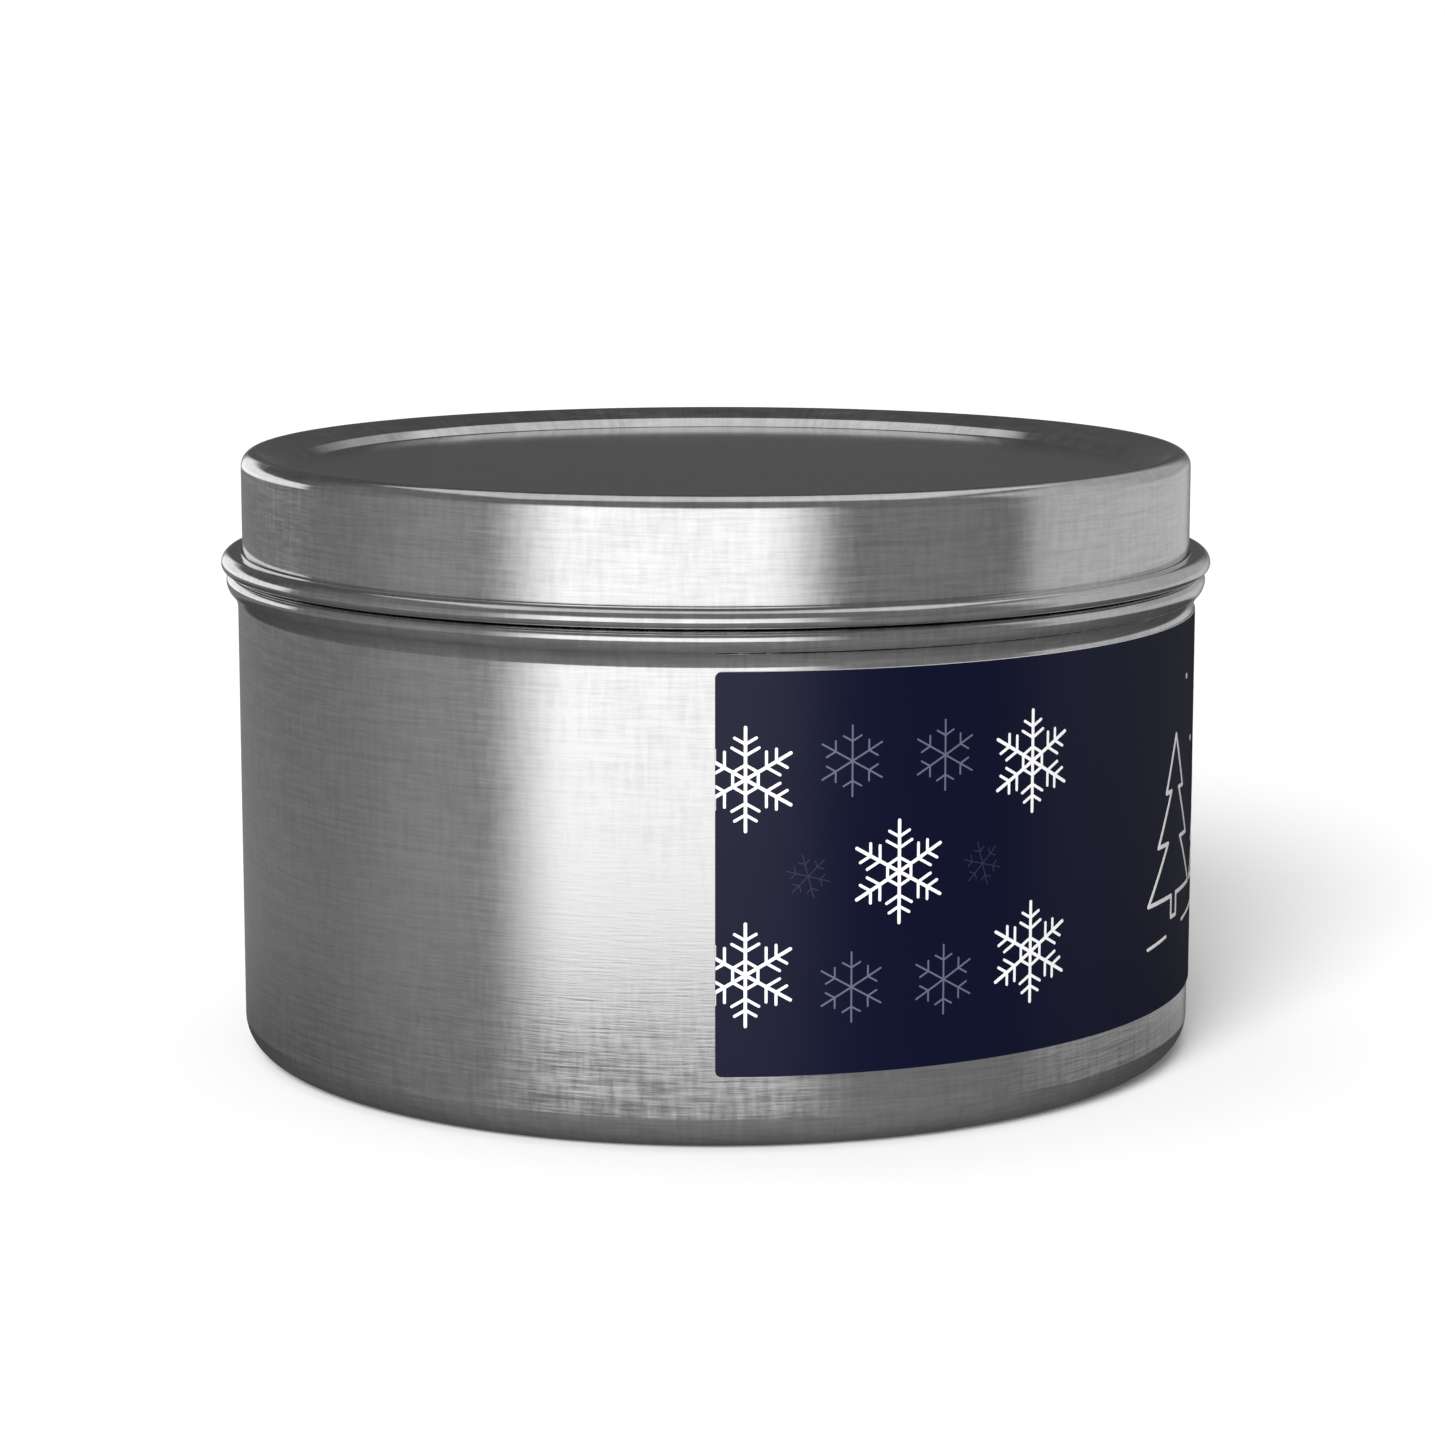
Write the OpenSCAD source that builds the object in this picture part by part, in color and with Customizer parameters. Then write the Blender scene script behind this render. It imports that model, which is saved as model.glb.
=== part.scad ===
// Round slip-lid candle tin: a drawn steel cup with a rolled bead that the lid rests on,
// a lid with a sunken panel and a rolled hem, a wrap-round label, and the poured candle inside.
// Millimetres, +Z up, origin at the centre of the standing face.

/* [Tin] */
// Outside diameter of the straight wall
wall_d = 80; // [76:1:110]
// Thickness of the sheet steel, used for the cup and the lid
sheet_t = 0.3; // [0.2:0.02:0.4]
// Outside radius of the rounded bottom edge
bottom_r = 2.7; // [1.5:0.1:4]
// How far the middle of the base is pressed up from the standing face
base_recess = 0.8; // [0.6:0.1:1.2]
// Height of the widest line of the bead under the lid
bead_z = 39.48; // [39.48:0.02:60]
// How far the bead stands out from the wall
bead_out = 0.92; // [0.7:0.01:1.1]

/* [Lid] */
// Height of the closed lid's top above the widest line of the bead
lid_rise = 10.62; // [8.5:0.02:20]
// How far the lid's skirt is set in from the wall
skirt_inset = 0.43; // [0.2:0.01:0.6]
// How far the rolled hem stands out from the wall
hem_out = 1.33; // [1.2:0.01:1.6]
// Outside radius of the hem's roll below its widest line
hem_low_r = 0.57; // [0.5:0.01:0.65]
// Outside radius of the hem's roll above its widest line
hem_high_r = 0.97; // [0.9:0.01:1.05]
// Radius of the lid's outer shoulder
shoulder_r = 1.22; // [0.8:0.02:2]
// Width of the rim that slopes in from the shoulder
rim_w = 2.2; // [0.8:0.05:2.4]
// Depth of the sunken panel below the top of the rim
panel_drop = 1.52; // [1.3:0.02:1.8]
// Free gap between the skirt and the neck of the cup
slip_gap = 0.2; // [0.1:0.05:0.3]

/* [Labels] */
// Height of the side label's lower edge
label_z = 6; // [4:0.1:10]
// Bare wall between the side label's upper edge and the flare of the bead
label_gap = 0.2; // [0.1:0.1:10]
// How far the side label wraps round the wall, in degrees
label_wrap = 250; // [90:1:275]
// Thickness of the side label
label_t = 0.15; // [0.08:0.01:0.3]
// Diameter of the round label under the base
base_label_d = 60; // [30:1:60]
// Thickness of the round label
base_label_t = 0.12; // [0.08:0.01:0.2]

/* [Candle] */
// Height of the wax surface
wax_z = 37; // [20:0.5:37]
// Diameter of the braided wick
wick_d = 2.2; // [1.5:0.1:3.5]
// Length of wick that stands out of the wax
wick_free = 6.5; // [3:0.5:8]
// Diameter of the wick's metal foot
foot_d = 20; // [12:1:24]
// Height of the crimped neck on the wick's foot
foot_neck_h = 3; // [2:0.5:6]
// Diameter of the adhesive dot under the foot
sticker_d = 18; // [10:1:24]
// Thickness of the adhesive dot
sticker_t = 0.8; // [0.4:0.1:1.2]

/* [Hidden] */
$fn = 128;

bend_step_angle = 15;
half_t = sheet_t / 2;
wall_r = wall_d / 2;
total_h = bead_z + lid_rise;

// The label starts at the front, facing -Y, and wraps anticlockwise seen from above.
front_angle = -90;

// Base of the cup: a pressed-up middle, a flat standing ring and the rounded bottom edge.
base_bend_r = 1.2;
base_bend_turn = 40;
standing_r = wall_r - bottom_r;
ring_w = 1.6;
base_slope_h = base_recess - 2 * base_bend_r * (1 - cos(base_bend_turn));
base_slope_w = base_slope_h / tan(base_bend_turn) + 2 * base_bend_r * sin(base_bend_turn);
ring_start_r = standing_r - ring_w;
base_top = base_recess + sheet_t;

// Bead: a hollow flare out of the wall, a full curve round the widest point, and a tighter
// curve back to the flat seat that the lid's hem rests on.
flare_r = 1.76;
bead_r = 1.4;
bead_top_r = 0.75;
bead_cx = wall_r + bead_out - bead_r;
flare_cx = wall_r + flare_r;
flare_drop = sqrt(pow(flare_r + bead_r, 2) - pow(flare_cx - bead_cx, 2));
flare_turn = atan2(flare_drop, flare_cx - bead_cx);
flare_z = bead_z - flare_drop;
label_h = flare_z - label_gap - label_z;
seat_z = bead_z + bead_top_r;

// Neck of the cup, which the lid slips over, with its edge curled inwards.
skirt_r = wall_r - skirt_inset;
neck_r = skirt_r - sheet_t - slip_gap;
neck_bend_r = 0.35;
curl_r = 0.65;
curl_turn = 250;
head_gap = 0.9;
curl_z = total_h - sheet_t - head_gap - curl_r - half_t;

// Lid: sunken panel, steeper step, gently sloping rim, shoulder, skirt and rolled hem.
step_turn = 38;
rim_turn = 19;
step_low_r = 0.5;
step_high_r = 0.8;
shoulder_mid_r = shoulder_r - half_t;
shoulder_cx = skirt_r - shoulder_r;
shoulder_cz = total_h - shoulder_r;
rim_start = [shoulder_cx, shoulder_cz] + polar(shoulder_mid_r, 90 + rim_turn);
rim_end = rim_start - polar(rim_w, rim_turn);
step_high_c = rim_end - polar(step_high_r, 90 + rim_turn);
step_top = step_high_c + polar(step_high_r, 90 + step_turn);
panel_mid_z = total_h - panel_drop - half_t;
step_foot_z = panel_mid_z + step_low_r * (1 - cos(step_turn));
step_foot_r = step_top[0] - (step_top[1] - step_foot_z) / tan(step_turn);
step_low_c = [step_foot_r - step_low_r * sin(step_turn), panel_mid_z + step_low_r];
skirt_mid_r = skirt_r - half_t;
hem_gap = 0.1;
hem_z = seat_z + hem_gap + hem_low_r;
hem_r = wall_r + hem_out;
hem_low_mid_r = hem_low_r - half_t;
hem_high_mid_r = hem_high_r - half_t;
hem_end_gap = 0.46;
hem_end_turn = 25;

// Wick, its metal foot and the adhesive dot that holds the foot to the base.
foot_t = 0.3;
foot_z = base_top + sticker_t;
foot_neck_t = 0.6;
wick_r = wick_d / 2;
wick_bottom = foot_z + foot_t;
foot_neck_z = foot_z + foot_t + foot_neck_h;

steel = [0.72, 0.72, 0.73];

function polar(r, angle) = r * [cos(angle), sin(angle)];

// A bend is [centre radius, centre height, mid-sheet radius, first angle, last angle].
// side is 1 for the skin on the right of the direction of travel and -1 for the left.
function bend_points(bend, side) =
    let (turn = bend[4] - bend[3],
         steps = ceil(abs(turn) / bend_step_angle),
         r = bend[2] + side * sign(turn) * half_t)
    [for (i = [0 : steps]) [bend[0], bend[1]] + polar(r, bend[3] + turn * i / steps)];

function skin(bends, side) = [for (bend = bends) each bend_points(bend, side)];

function reversed(list) = [for (i = [len(list) - 1 : -1 : 0]) list[i]];

// Closed outline of bent sheet that starts flat on the axis, at mid-sheet height start_z.
function sheet_outline(bends, start_z) = concat(
    [[0, start_z - half_t]], skin(bends, 1), reversed(skin(bends, -1)), [[0, start_z + half_t]]);

base_mid_z = base_recess + half_t;
base_bends = [
    [ring_start_r - base_slope_w, base_mid_z - base_bend_r, base_bend_r, 90, 90 - base_bend_turn],
    [ring_start_r, half_t + base_bend_r, base_bend_r, 270 - base_bend_turn, 270],
    [standing_r, bottom_r, bottom_r - half_t, 270, 360]
];

top_bends = [
    [flare_cx, flare_z, flare_r + half_t, 180, 180 - flare_turn],
    [bead_cx, bead_z, bead_r - half_t, -flare_turn, 0],
    [wall_r + bead_out - bead_top_r, bead_z, bead_top_r - half_t, 0, 90],
    [neck_r - half_t + neck_bend_r, seat_z - half_t + neck_bend_r, neck_bend_r, 270, 180],
    [neck_r - half_t - curl_r, curl_z, curl_r, 0, curl_turn]
];

lid_bends = [
    [step_low_c[0], step_low_c[1], step_low_r, 270, 270 + step_turn],
    [step_high_c[0], step_high_c[1], step_high_r, 90 + step_turn, 90 + rim_turn],
    [shoulder_cx, shoulder_cz, shoulder_mid_r, 90 + rim_turn, 0],
    [skirt_mid_r + hem_low_mid_r, hem_z, hem_low_mid_r, 180, 270],
    [hem_r - hem_low_r, hem_z, hem_low_mid_r, 270, 360],
    [hem_r - hem_high_r, hem_z, hem_high_mid_r, 0, 90],
    [skirt_r + hem_end_gap, hem_z, hem_high_mid_r, 90, 90 + hem_end_turn]
];

// Drawn cup with its bead, neck and curled edge.
module tin_body() {
    color(steel)
    rotate_extrude()
    polygon(sheet_outline(concat(base_bends, top_bends), base_mid_z));
}

// Slip lid: one pressing with a rolled hem.
module lid() {
    color(steel)
    rotate_extrude()
    polygon(sheet_outline(lid_bends, panel_mid_z));
}

// Printed label round the wall.
module side_label() {
    color([0.06, 0.07, 0.2])
    rotate([0, 0, front_angle])
    rotate_extrude(angle = label_wrap)
    translate([wall_r, label_z])
    square([label_t, label_h]);
}

// Round paper label in the hollow of the base.
module base_label() {
    color([0.93, 0.92, 0.88])
    translate([0, 0, base_recess - base_label_t])
    cylinder(d = base_label_d, h = base_label_t);
}

// Poured wax: fills the cup to wax_z, with room for the wick, its foot and the adhesive dot.
module wax_fill() {
    color([0.95, 0.92, 0.84])
    difference() {
        rotate_extrude()
        polygon(concat([[0, base_top]], skin(base_bends, -1),
                       [[wall_r - sheet_t, wax_z], [0, wax_z]]));
        translate([0, 0, base_recess]) cylinder(d = sticker_d, h = foot_z - base_recess);
        translate([0, 0, foot_z]) cylinder(d = foot_d, h = foot_t);
        translate([0, 0, foot_z]) cylinder(r = wick_r + foot_neck_t, h = foot_neck_z - foot_z);
        translate([0, 0, wick_bottom]) cylinder(r = wick_r, h = wax_z);
    }
}

// Braided cotton wick.
module wick() {
    color([0.93, 0.91, 0.86])
    translate([0, 0, wick_bottom])
    cylinder(r = wick_r, h = wax_z + wick_free - wick_bottom);
}

// Metal foot: a disc with a neck crimped round the wick.
module wick_foot() {
    color([0.78, 0.78, 0.8]) {
        translate([0, 0, foot_z]) cylinder(d = foot_d, h = foot_t);
        translate([0, 0, wick_bottom])
        difference() {
            cylinder(r = wick_r + foot_neck_t, h = foot_neck_h);
            translate([0, 0, -1]) cylinder(r = wick_r, h = foot_neck_h + 2);
        }
    }
}

// Double-sided adhesive dot under the foot.
module wick_sticker() {
    color([0.97, 0.97, 0.95])
    translate([0, 0, base_top])
    cylinder(d = sticker_d, h = sticker_t);
}

tin_body();
lid();
side_label();
base_label();
wax_fill();
wick();
wick_foot();
wick_sticker();
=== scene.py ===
"""Candle tin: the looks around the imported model.

Every piece here stands for one CAD node, or is printed on one, and rides on its body.
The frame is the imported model's: +Z up, origin at the centre of the standing face, and -Y
towards the camera. Lengths are in metres unless a name says otherwise, and MM turns
millimetres into metres. Angles are in degrees.
"""

import math

import bpy
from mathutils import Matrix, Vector
from mathutils.geometry import delaunay_2d_cdt


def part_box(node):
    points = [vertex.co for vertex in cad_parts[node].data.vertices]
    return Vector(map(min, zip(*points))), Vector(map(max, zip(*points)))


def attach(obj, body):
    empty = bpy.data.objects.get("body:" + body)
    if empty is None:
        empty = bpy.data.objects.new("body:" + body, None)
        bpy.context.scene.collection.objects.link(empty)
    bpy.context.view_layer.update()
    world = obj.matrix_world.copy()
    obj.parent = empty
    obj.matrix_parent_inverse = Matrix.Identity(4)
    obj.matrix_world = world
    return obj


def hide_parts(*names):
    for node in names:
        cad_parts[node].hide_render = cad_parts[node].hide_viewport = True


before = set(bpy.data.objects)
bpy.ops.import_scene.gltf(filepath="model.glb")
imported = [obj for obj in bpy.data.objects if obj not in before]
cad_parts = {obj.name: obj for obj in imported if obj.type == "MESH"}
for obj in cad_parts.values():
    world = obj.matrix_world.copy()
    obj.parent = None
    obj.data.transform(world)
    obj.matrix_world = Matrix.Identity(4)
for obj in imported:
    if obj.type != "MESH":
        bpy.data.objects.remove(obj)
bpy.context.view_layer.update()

MM = 0.001


# ---------------------------------------------------------------- camera

CAMERA_PLACE = (0.56 * MM, -336.18 * MM, 82.1 * MM)
CAMERA_PITCH = 9.372
CAMERA_LENS = 100.17
SENSOR_WIDTH = 36


def add_camera():
    data = bpy.data.cameras.new("camera")
    data.lens = CAMERA_LENS
    data.sensor_width = SENSOR_WIDTH
    data.clip_start = 10 * MM
    camera = bpy.data.objects.new("camera", data)
    camera.location = CAMERA_PLACE
    camera.rotation_euler = (math.radians(90 - CAMERA_PITCH), 0, 0)
    bpy.context.scene.collection.objects.link(camera)
    bpy.context.scene.camera = camera


add_camera()


# ---------------------------------------------------------------- dimensions, from the frame

tin_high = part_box("tin_body")[1]
lid_low, lid_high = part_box("lid")
label_low, label_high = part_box("side_label")
base_label_low, base_label_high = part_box("base_label")
wax_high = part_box("wax_fill")[1]
wick_low, wick_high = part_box("wick")
foot_low, foot_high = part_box("wick_foot")
sticker_low, sticker_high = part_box("wick_sticker")

SHEET = 0.3 * MM
HALF_SHEET = SHEET / 2
WALL_R = wax_high.x + SHEET
TOTAL_H = lid_high.z
LABEL_R = label_high.x

# Shape of the pressed and rolled sheet, as the CAD has it.
BOTTOM_R = 2.7 * MM
BASE_RECESS = base_label_high.z
BASE_BEND_R = 1.2 * MM
BASE_BEND_TURN = 40
RING_W = 1.6 * MM
FLARE_R = 1.76 * MM
BEAD_R = 1.4 * MM
BEAD_TOP_R = 0.75 * MM
HEM_SEAT_GAP = 0.1 * MM
SLIP_GAP = 0.2 * MM
SKIRT_INSET = 0.43 * MM
NECK_BEND_R = 0.35 * MM
CURL_R = 0.65 * MM
CURL_TURN = 250
STEP_TURN = 38
RIM_TURN = 19
RIM_W = 2.2 * MM
PANEL_DROP = 1.52 * MM
STEP_LOW_R = 0.5 * MM
STEP_HIGH_R = 0.8 * MM
SHOULDER_R = 1.22 * MM
HEM_LOW_R = 0.57 * MM
HEM_HIGH_R = 0.97 * MM
HEM_END_GAP = 0.46 * MM
HEM_END_TURN = 25

SEGMENTS = 288
BEND_STEP = 7.5

# Gap left between pieces that touch, so that no two surfaces coincide.
CLEAR = 0.02 * MM


# ---------------------------------------------------------------- node trees


class Nodes:
    """A short way to add shader nodes to one tree and to join their sockets."""

    def __init__(self, owner):
        owner.use_nodes = True
        self.tree = owner.node_tree
        self.tree.nodes.clear()

    def add(self, kind, inputs=None, **settings):
        node = self.tree.nodes.new("ShaderNode" + kind)
        for name, value in settings.items():
            setattr(node, name, value)
        for key, value in (inputs or {}).items():
            self.join(value, node.inputs[key])
        return node

    def join(self, value, socket):
        if isinstance(value, bpy.types.NodeSocket):
            self.tree.links.new(value, socket)
        else:
            socket.default_value = value

    def math(self, operation, first, second=0.0):
        return self.add("Math", {0: first, 1: second}, operation=operation).outputs[0]

    def total(self, values):
        result = values[0]
        for value in values[1:]:
            result = self.math("ADD", result, value)
        return result

    def split(self, vector):
        return self.add("SeparateXYZ", {0: vector}).outputs

    def combine(self, x, y, z):
        return self.add("CombineXYZ", {0: x, 1: y, 2: z}).outputs[0]

    def scaled(self, vector, factors):
        return self.add("VectorMath", {0: vector, 1: factors}, operation="MULTIPLY").outputs[0]

    def remap(self, value, low, high, to_low=0.0, to_high=1.0, smooth=False):
        style = "SMOOTHSTEP" if smooth else "LINEAR"
        inputs = {
            "Value": value,
            "From Min": low,
            "From Max": high,
            "To Min": to_low,
            "To Max": to_high,
        }
        return self.add("MapRange", inputs, interpolation_type=style).outputs[0]

    def noise(self, vector, detail=2.0, roughness=0.5):
        inputs = {"Vector": vector, "Scale": 1.0, "Detail": detail, "Roughness": roughness}
        return self.add("TexNoise", inputs).outputs[0]

    def blend(self, factor, first, second):
        inputs = {0: factor, 6: (*first, 1), 7: (*second, 1)}
        return self.add("Mix", inputs, data_type="RGBA").outputs[2]

    def bump(self, height, distance, strength=1.0):
        inputs = {"Height": height, "Distance": distance, "Strength": strength}
        return self.add("Bump", inputs).outputs[0]

    def position(self):
        return self.add("TexCoord").outputs["Object"]

    def surface(self, **sockets):
        """Principled surface. Underscores in a socket's name stand for spaces."""
        inputs = {name.replace("_", " "): value for name, value in sockets.items()}
        shader = self.add("BsdfPrincipled", inputs)
        self.add("OutputMaterial", {"Surface": shader.outputs[0]})
        return shader


# ---------------------------------------------------------------- studio

# Soft lights that the steel mirrors, by direction: azimuth 0 is the camera's side and grows
# towards +X. An edge is the angle over which a light fades out.
KEY_LIGHT = {
    "azimuth": (-45, 21.5),
    "azimuth_edge": 24,
    "elevation": (-13.5, 25),
    "elevation_edges": (1.5, 14),
    "radiance": 1.25,
}
SIDE_LIGHT = {
    "azimuth": (79, 161),
    "azimuth_edge": 14,
    "elevation": (-13.4, 47),
    "elevation_edges": (3, 8),
    "radiance": 0.37,
}
GLOW = {
    "azimuth": (-85, -40),
    "azimuth_edge": 44,
    "elevation": (-13.4, 25),
    "elevation_edges": (3, 14),
    "radiance": 0.1,
}
BACK_LIGHT = {
    "azimuth": (-165, -114),
    "azimuth_edge": 5,
    "elevation": (-4.5, 13),
    "elevation_edges": (2, 3),
    "radiance": 0.95,
}
# The ceiling light is a rectangle on a plane one unit up: across X, and from front to back.
CEILING_X = (-0.65, 0.65)
CEILING_Y = (-0.25, 0.85)
CEILING_EDGE = 0.16
CEILING_RADIANCE = 0.62
# The room's own light, each as (far side, camera's side): its upper part, a band at the
# horizon, and what is below.
ROOM_ABOVE = (0.095, 0.2)
ROOM_BAND = (0.22, 0.235)
ROOM_BELOW = (0.06, 0.27)
BAND_ELEVATION = (-13.4, 1)
BAND_EDGES = (3, 6)
BACKGROUND = 1.0


def window(nodes, value, limits, low_edge, high_edge):
    """1 between the limits and 0 beyond them, at one half on the limits themselves."""
    low, high = limits
    rising = nodes.remap(value, low - low_edge / 2, low + low_edge / 2, smooth=True)
    falling = nodes.remap(value, high - high_edge / 2, high + high_edge / 2, 1, 0, smooth=True)
    return nodes.math("MULTIPLY", rising, falling)


def softbox(nodes, azimuth, elevation, light):
    edge = light["azimuth_edge"]
    across = window(nodes, azimuth, light["azimuth"], edge, edge)
    up = window(nodes, elevation, light["elevation"], *light["elevation_edges"])
    shape = nodes.math("MULTIPLY", across, up)
    return nodes.math("MULTIPLY", shape, light["radiance"])


def ceiling_light(nodes, x, y, z):
    height = nodes.math("MAXIMUM", z, 0.01)
    across = nodes.math("DIVIDE", x, height)
    along = nodes.math("DIVIDE", y, height)
    shape = nodes.math(
        "MULTIPLY",
        window(nodes, across, CEILING_X, CEILING_EDGE, CEILING_EDGE),
        window(nodes, along, CEILING_Y, CEILING_EDGE, CEILING_EDGE),
    )
    return nodes.math("MULTIPLY", shape, CEILING_RADIANCE)


def room_light(nodes, elevation, toward_camera):
    low, high = BAND_ELEVATION
    low_edge, high_edge = BAND_EDGES
    above_low = nodes.remap(elevation, low - low_edge / 2, low + low_edge / 2, smooth=True)
    above_high = nodes.remap(elevation, high - high_edge / 2, high + high_edge / 2, smooth=True)
    upper = nodes.remap(toward_camera, -0.7, -0.2, *ROOM_ABOVE, smooth=True)
    band = nodes.remap(toward_camera, -1, 1, *ROOM_BAND)
    below = nodes.remap(toward_camera, -1, 1, *ROOM_BELOW)
    lower = nodes.add("Mix", {0: above_low, 2: below, 3: band}, data_type="FLOAT").outputs[0]
    return nodes.add("Mix", {0: above_high, 2: lower, 3: upper}, data_type="FLOAT").outputs[0]


def build_world():
    """Studio of soft lights in a grey room. What the camera sees past the floor is white."""
    world = bpy.data.worlds.new("studio")
    bpy.context.scene.world = world
    nodes = Nodes(world)
    direction = nodes.add("TexCoord").outputs["Generated"]
    x, y, z = nodes.split(direction)
    toward_camera = nodes.math("MULTIPLY", y, -1.0)
    azimuth = nodes.math("DEGREES", nodes.math("ARCTAN2", x, toward_camera))
    elevation = nodes.math("DEGREES", nodes.math("ARCSINE", z))
    room = room_light(nodes, elevation, toward_camera)
    boxes = (KEY_LIGHT, SIDE_LIGHT, GLOW, BACK_LIGHT)
    lights = [softbox(nodes, azimuth, elevation, light) for light in boxes]
    radiance = nodes.total([room, *lights, ceiling_light(nodes, x, y, z)])
    seen = nodes.add("LightPath").outputs["Is Camera Ray"]
    strength = nodes.add("Mix", {0: seen, 2: radiance, 3: BACKGROUND}, data_type="FLOAT").outputs[0]
    shader = nodes.add("Background", {"Color": (1, 1, 1, 1), "Strength": strength})
    nodes.add("OutputWorld", {"Surface": shader.outputs[0]})


def add_sun(name, azimuth, elevation, spread, strength):
    """Even light on the floor and on matt surfaces, which the steel doesn't mirror."""
    data = bpy.data.lights.new(name, "SUN")
    data.energy = strength
    data.angle = math.radians(spread)
    light = bpy.data.objects.new(name, data)
    a, e = math.radians(azimuth), math.radians(elevation)
    toward_light = Vector((math.sin(a) * math.cos(e), -math.cos(a) * math.cos(e), math.sin(e)))
    light.rotation_euler = toward_light.to_track_quat("Z", "Y").to_euler()
    light.visible_glossy = False
    bpy.context.scene.collection.objects.link(light)


def floor_material():
    material = bpy.data.materials.new("pale_floor")
    nodes = Nodes(material)
    grain = nodes.noise(nodes.scaled(nodes.position(), (40, 40, 40)))
    colour = nodes.blend(grain, (0.9, 0.9, 0.9), (0.92, 0.92, 0.92))
    nodes.surface(Base_Color=colour, Roughness=0.9)
    return material


def add_floor():
    radius = 4.0
    sides = 96
    rim = [
        (radius * math.cos(2 * math.pi * i / sides), radius * math.sin(2 * math.pi * i / sides), 0)
        for i in range(sides)
    ]
    mesh = bpy.data.meshes.new("floor")
    mesh.from_pydata(rim, [], [list(range(sides))])
    mesh.materials.append(floor_material())
    floor = bpy.data.objects.new("floor", mesh)
    bpy.context.scene.collection.objects.link(floor)
    floor.visible_glossy = False
    floor.visible_diffuse = False
    floor.visible_shadow = False


def build_studio():
    bpy.context.scene.view_settings.view_transform = "Standard"
    build_world()
    add_sun("overhead_light", azimuth=-75, elevation=70, spread=82, strength=0.55)
    add_sun("slanting_light", azimuth=-17, elevation=32, spread=30, strength=3.8)
    add_floor()


# ---------------------------------------------------------------- materials


def turned_coordinates(nodes):
    """(cosine, sine, across): steady round the axis, and quick across the brush lines."""
    x, y, z = nodes.split(nodes.position())
    flat = nodes.combine(x, y, 0.0)
    radius = nodes.add("VectorMath", {0: flat}, operation="LENGTH").outputs["Value"]
    safe_radius = nodes.math("MAXIMUM", radius, 0.1 * MM)
    across = nodes.math("SUBTRACT", z, nodes.math("MULTIPLY", radius, 0.6))
    cosine = nodes.math("DIVIDE", x, safe_radius)
    sine = nodes.math("DIVIDE", y, safe_radius)
    return nodes.combine(cosine, sine, across)


def streaks(nodes, coordinates, along, across, detail=2.0):
    """Noise drawn out along the brush lines. across is the period over them, in metres."""
    return nodes.noise(nodes.scaled(coordinates, (along, along, 1 / across)), detail)


def turned_steel(name):
    """Steel brushed round the axis, with a faint cross weave and soft blotches."""
    material = bpy.data.materials.new(name)
    nodes = Nodes(material)
    coordinates = turned_coordinates(nodes)
    short_lines = streaks(nodes, coordinates, along=14, across=0.17 * MM, detail=3)
    long_lines = streaks(nodes, coordinates, along=3, across=0.35 * MM)
    weave = streaks(nodes, coordinates, along=75, across=2.5 * MM, detail=2)
    blotches = nodes.noise(nodes.scaled(nodes.position(), (120, 120, 120)), 3)
    tone = nodes.total(
        [
            nodes.math("MULTIPLY", short_lines, 0.35),
            nodes.math("MULTIPLY", long_lines, 0.25),
            nodes.math("MULTIPLY", weave, 0.26),
            nodes.math("MULTIPLY", blotches, 0.14),
        ]
    )
    colour = nodes.blend(nodes.remap(tone, 0.4, 0.6), (0.54, 0.54, 0.545), (0.7, 0.7, 0.705))
    height = nodes.math("ADD", short_lines, nodes.math("MULTIPLY", weave, 0.4))
    nodes.surface(
        Base_Color=colour,
        Metallic=1.0,
        Roughness=nodes.remap(tone, 0.35, 0.65, 0.05, 0.19),
        Anisotropic=0.2,
        Tangent=nodes.add("Tangent", direction_type="RADIAL", axis="Z").outputs[0],
        Normal=nodes.bump(height, 0.002 * MM),
    )
    return material


def panel_steel(name):
    """The lid's sunken panel, brushed in straight lines along X."""
    material = bpy.data.materials.new(name)
    nodes = Nodes(material)
    position = nodes.position()
    fine_lines = nodes.noise(nodes.scaled(position, (120, 4200, 120)))
    broad_lines = nodes.noise(nodes.scaled(position, (30, 900, 30)))
    tone = nodes.math(
        "ADD", nodes.math("MULTIPLY", fine_lines, 0.6), nodes.math("MULTIPLY", broad_lines, 0.4)
    )
    colour = nodes.blend(nodes.remap(tone, 0.3, 0.7), (0.56, 0.56, 0.565), (0.66, 0.66, 0.665))
    nodes.surface(
        Base_Color=colour,
        Metallic=1.0,
        Roughness=nodes.remap(tone, 0.3, 0.7, 0.09, 0.15),
        Normal=nodes.bump(fine_lines, 0.001 * MM),
    )
    return material


def film(name, first, second):
    """Printed film: an even colour with a slight mottle, under a weak and even varnish sheen."""
    material = bpy.data.materials.new(name)
    nodes = Nodes(material)
    position = nodes.position()
    mottle = nodes.noise(nodes.scaled(position, (260, 260, 260)), 3)
    grain = nodes.noise(nodes.scaled(position, (9000, 9000, 9000)), 1)
    nodes.surface(
        Base_Color=nodes.blend(mottle, first, second),
        Roughness=nodes.remap(grain, 0, 1, 0.5, 0.6),
        Specular_IOR_Level=0.0,
        Coat_Weight=0.1,
        Coat_IOR=3.0,
        Coat_Roughness=0.27,
        Normal=nodes.bump(grain, 0.0006 * MM),
    )
    return material


def paper(name, first, second):
    """Uncoated paper, with fibres that show as a fine mottle."""
    material = bpy.data.materials.new(name)
    nodes = Nodes(material)
    fibres = nodes.noise(nodes.scaled(nodes.position(), (2400, 2400, 2400)), 4, 0.7)
    nodes.surface(
        Base_Color=nodes.blend(fibres, first, second),
        Roughness=0.8,
        Normal=nodes.bump(fibres, 0.004 * MM),
    )
    return material


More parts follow.
